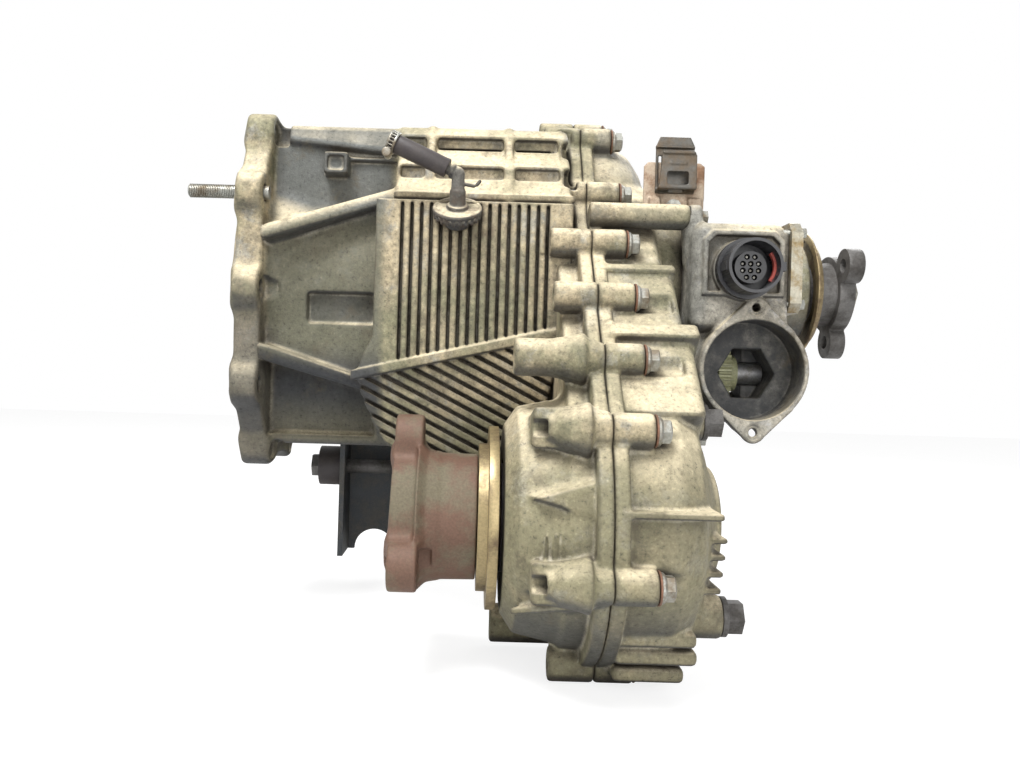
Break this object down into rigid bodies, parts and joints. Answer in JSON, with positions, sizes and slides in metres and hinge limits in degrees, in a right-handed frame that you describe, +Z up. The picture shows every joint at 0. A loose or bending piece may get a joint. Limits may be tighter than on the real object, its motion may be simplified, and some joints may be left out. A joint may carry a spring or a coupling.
{
  "type": "transfer case",
  "caption": "Two-speed chain-drive transfer case with planetary reduction, centre differential, front and rear output flanges, and an electric range actuator.",
  "frame": {"origin": "centre of the gearbox flange face, on the main shaft axis", "axes": "+X along the shafts to the rear output, +Y to the far side away from the front output, +Z up"},
  "size_m": [0.507, 0.3875, 0.398],
  "materials": {
    "cast": "weathered sand casting, dusty and stained",
    "steel": "machined, oiled",
    "gear": "hardened and ground teeth",
    "race": "ground bearing steel",
    "rust": "forged, surface rust",
    "shield": "pressed sheet, light rust",
    "zinc": "plated, dulled",
    "friction": "paper-based friction facing on steel",
    "rubber": "moulded",
    "plastic": "glass-filled moulding",
    "contact": "tinned contacts",
    "grey": "die cast, clean",
    "cover": "die cast, yellowed",
    "bracket": "painted pressing, worn and rusting",
    "spring": "dark spring steel",
    "wheel": "moulded nylon"
  },
  "bodies": {
    "casing": {"front_housing": "cast", "rear_housing": "cast", "bearing_outer_races": "race", "input_seal": "rubber", "front_seal": "rubber", "rear_seal": "rubber", "ring_gear": "gear", "shift_rail": "steel", "actuator_housing": "grey", "actuator_cover": "cover", "connector_shell": "plastic", "connector_pins": "contact", "housing_bolts": "zinc", "dowel_pins": "steel", "oil_plugs": "zinc", "small_screws": "zinc", "gearbox_stud": "zinc", "breather_cap": "plastic", "breather_hose": "rubber", "hose_clamp": "zinc", "cable_bracket": "bracket", "cable_clip": "spring", "mount_bracket": "bracket", "mount_bush": "rubber", "mount_bolts": "zinc", "drive_chain": "steel"},
    "input": {"input_shaft": "steel", "input_bearing_inner": "race"},
    "carrier": {"planet_carrier": "steel", "planet_pins": "steel"},
    "planet_1": {"planet_gear_1": "gear"},
    "planet_2": {"planet_gear_2": "gear"},
    "planet_3": {"planet_gear_3": "gear"},
    "planet_4": {"planet_gear_4": "gear"},
    "centre": {"range_hub": "gear", "diff_case": "steel", "diff_cross_pin": "steel", "spider_gears": "gear"},
    "sleeve": {"range_sleeve": "gear"},
    "fork": {"shift_fork": "steel"},
    "selector": {"selector_shaft": "steel", "worm_wheel": "wheel"},
    "front_drive": {"front_side_gear": "gear", "upper_sprocket": "gear", "clutch_drum": "steel", "clutch_plates": "steel"},
    "rear_output": {"rear_side_gear": "gear", "rear_output_shaft": "steel", "clutch_hub": "steel", "clutch_discs": "friction", "rear_bearing_inner": "race", "rear_output_flange": "rust", "rear_dust_shield": "shield", "rear_flange_nut": "zinc"},
    "front_output": {"front_output_shaft": "steel", "lower_sprocket": "gear", "front_bearing_inners": "race", "front_output_flange": "rust", "front_dust_shield": "shield", "front_flange_nut": "zinc"}
  },
  "joints": [
    {"name": "input_spin", "type": "hinge", "parent": "casing", "child": "input", "pos_m": [0, 0, 0], "axis": [1, 0, 0], "continuous": true},
    {"name": "carrier_spin", "type": "hinge", "parent": "casing", "child": "carrier", "pos_m": [0, 0, 0], "axis": [1, 0, 0], "continuous": true},
    {"name": "planet_1_spin", "type": "hinge", "parent": "carrier", "child": "planet_1", "pos_m": [0, 0.042, 0], "axis": [1, 0, 0], "continuous": true},
    {"name": "planet_2_spin", "type": "hinge", "parent": "carrier", "child": "planet_2", "pos_m": [0, 0, 0.042], "axis": [1, 0, 0], "continuous": true},
    {"name": "planet_3_spin", "type": "hinge", "parent": "carrier", "child": "planet_3", "pos_m": [0, -0.042, 0], "axis": [1, 0, 0], "continuous": true},
    {"name": "planet_4_spin", "type": "hinge", "parent": "carrier", "child": "planet_4", "pos_m": [0, 0, -0.042], "axis": [1, 0, 0], "continuous": true},
    {"name": "centre_spin", "type": "hinge", "parent": "casing", "child": "centre", "pos_m": [0, 0, 0], "axis": [1, 0, 0], "continuous": true},
    {"name": "front_drive_spin", "type": "hinge", "parent": "casing", "child": "front_drive", "pos_m": [0, 0, 0], "axis": [1, 0, 0], "continuous": true},
    {"name": "rear_output_spin", "type": "hinge", "parent": "casing", "child": "rear_output", "pos_m": [0, 0, 0], "axis": [1, 0, 0], "continuous": true},
    {"name": "front_output_spin", "type": "hinge", "parent": "casing", "child": "front_output", "pos_m": [0, -0.15214, -0.16201], "axis": [1, 0, 0], "continuous": true, "deforming": ["drive_chain"]},
    {"name": "selector_turn", "type": "hinge", "parent": "casing", "child": "selector", "pos_m": [0, -0.058, -0.066], "axis": [1, 0, 0], "range_deg": [0, 150]},
    {"name": "fork_slide", "type": "slide", "parent": "casing", "child": "fork", "axis": [1, 0, 0], "range_m": [0, 0.012]},
    {"name": "sleeve_slide", "type": "slide", "parent": "centre", "child": "sleeve", "axis": [1, 0, 0], "range_m": [0, 0.012]}
  ],
  "couplings": [
    {"joint": "carrier_spin", "follows": "input_spin", "ratio": 0.375},
    {"joint": "planet_1_spin", "follows": "input_spin", "ratio": -1.875},
    {"joint": "planet_2_spin", "follows": "input_spin", "ratio": -1.875},
    {"joint": "planet_3_spin", "follows": "input_spin", "ratio": -1.875},
    {"joint": "planet_4_spin", "follows": "input_spin", "ratio": -1.875},
    {"joint": "centre_spin", "follows": "input_spin", "ratio": 1},
    {"joint": "front_drive_spin", "follows": "input_spin", "ratio": 1},
    {"joint": "rear_output_spin", "follows": "input_spin", "ratio": 1},
    {"joint": "front_output_spin", "follows": "input_spin", "ratio": 1},
    {"joint": "fork_slide", "follows": "selector_turn", "m_per_rad": 0.0045836},
    {"joint": "sleeve_slide", "follows": "selector_turn", "m_per_rad": 0.0045836}
  ]
}
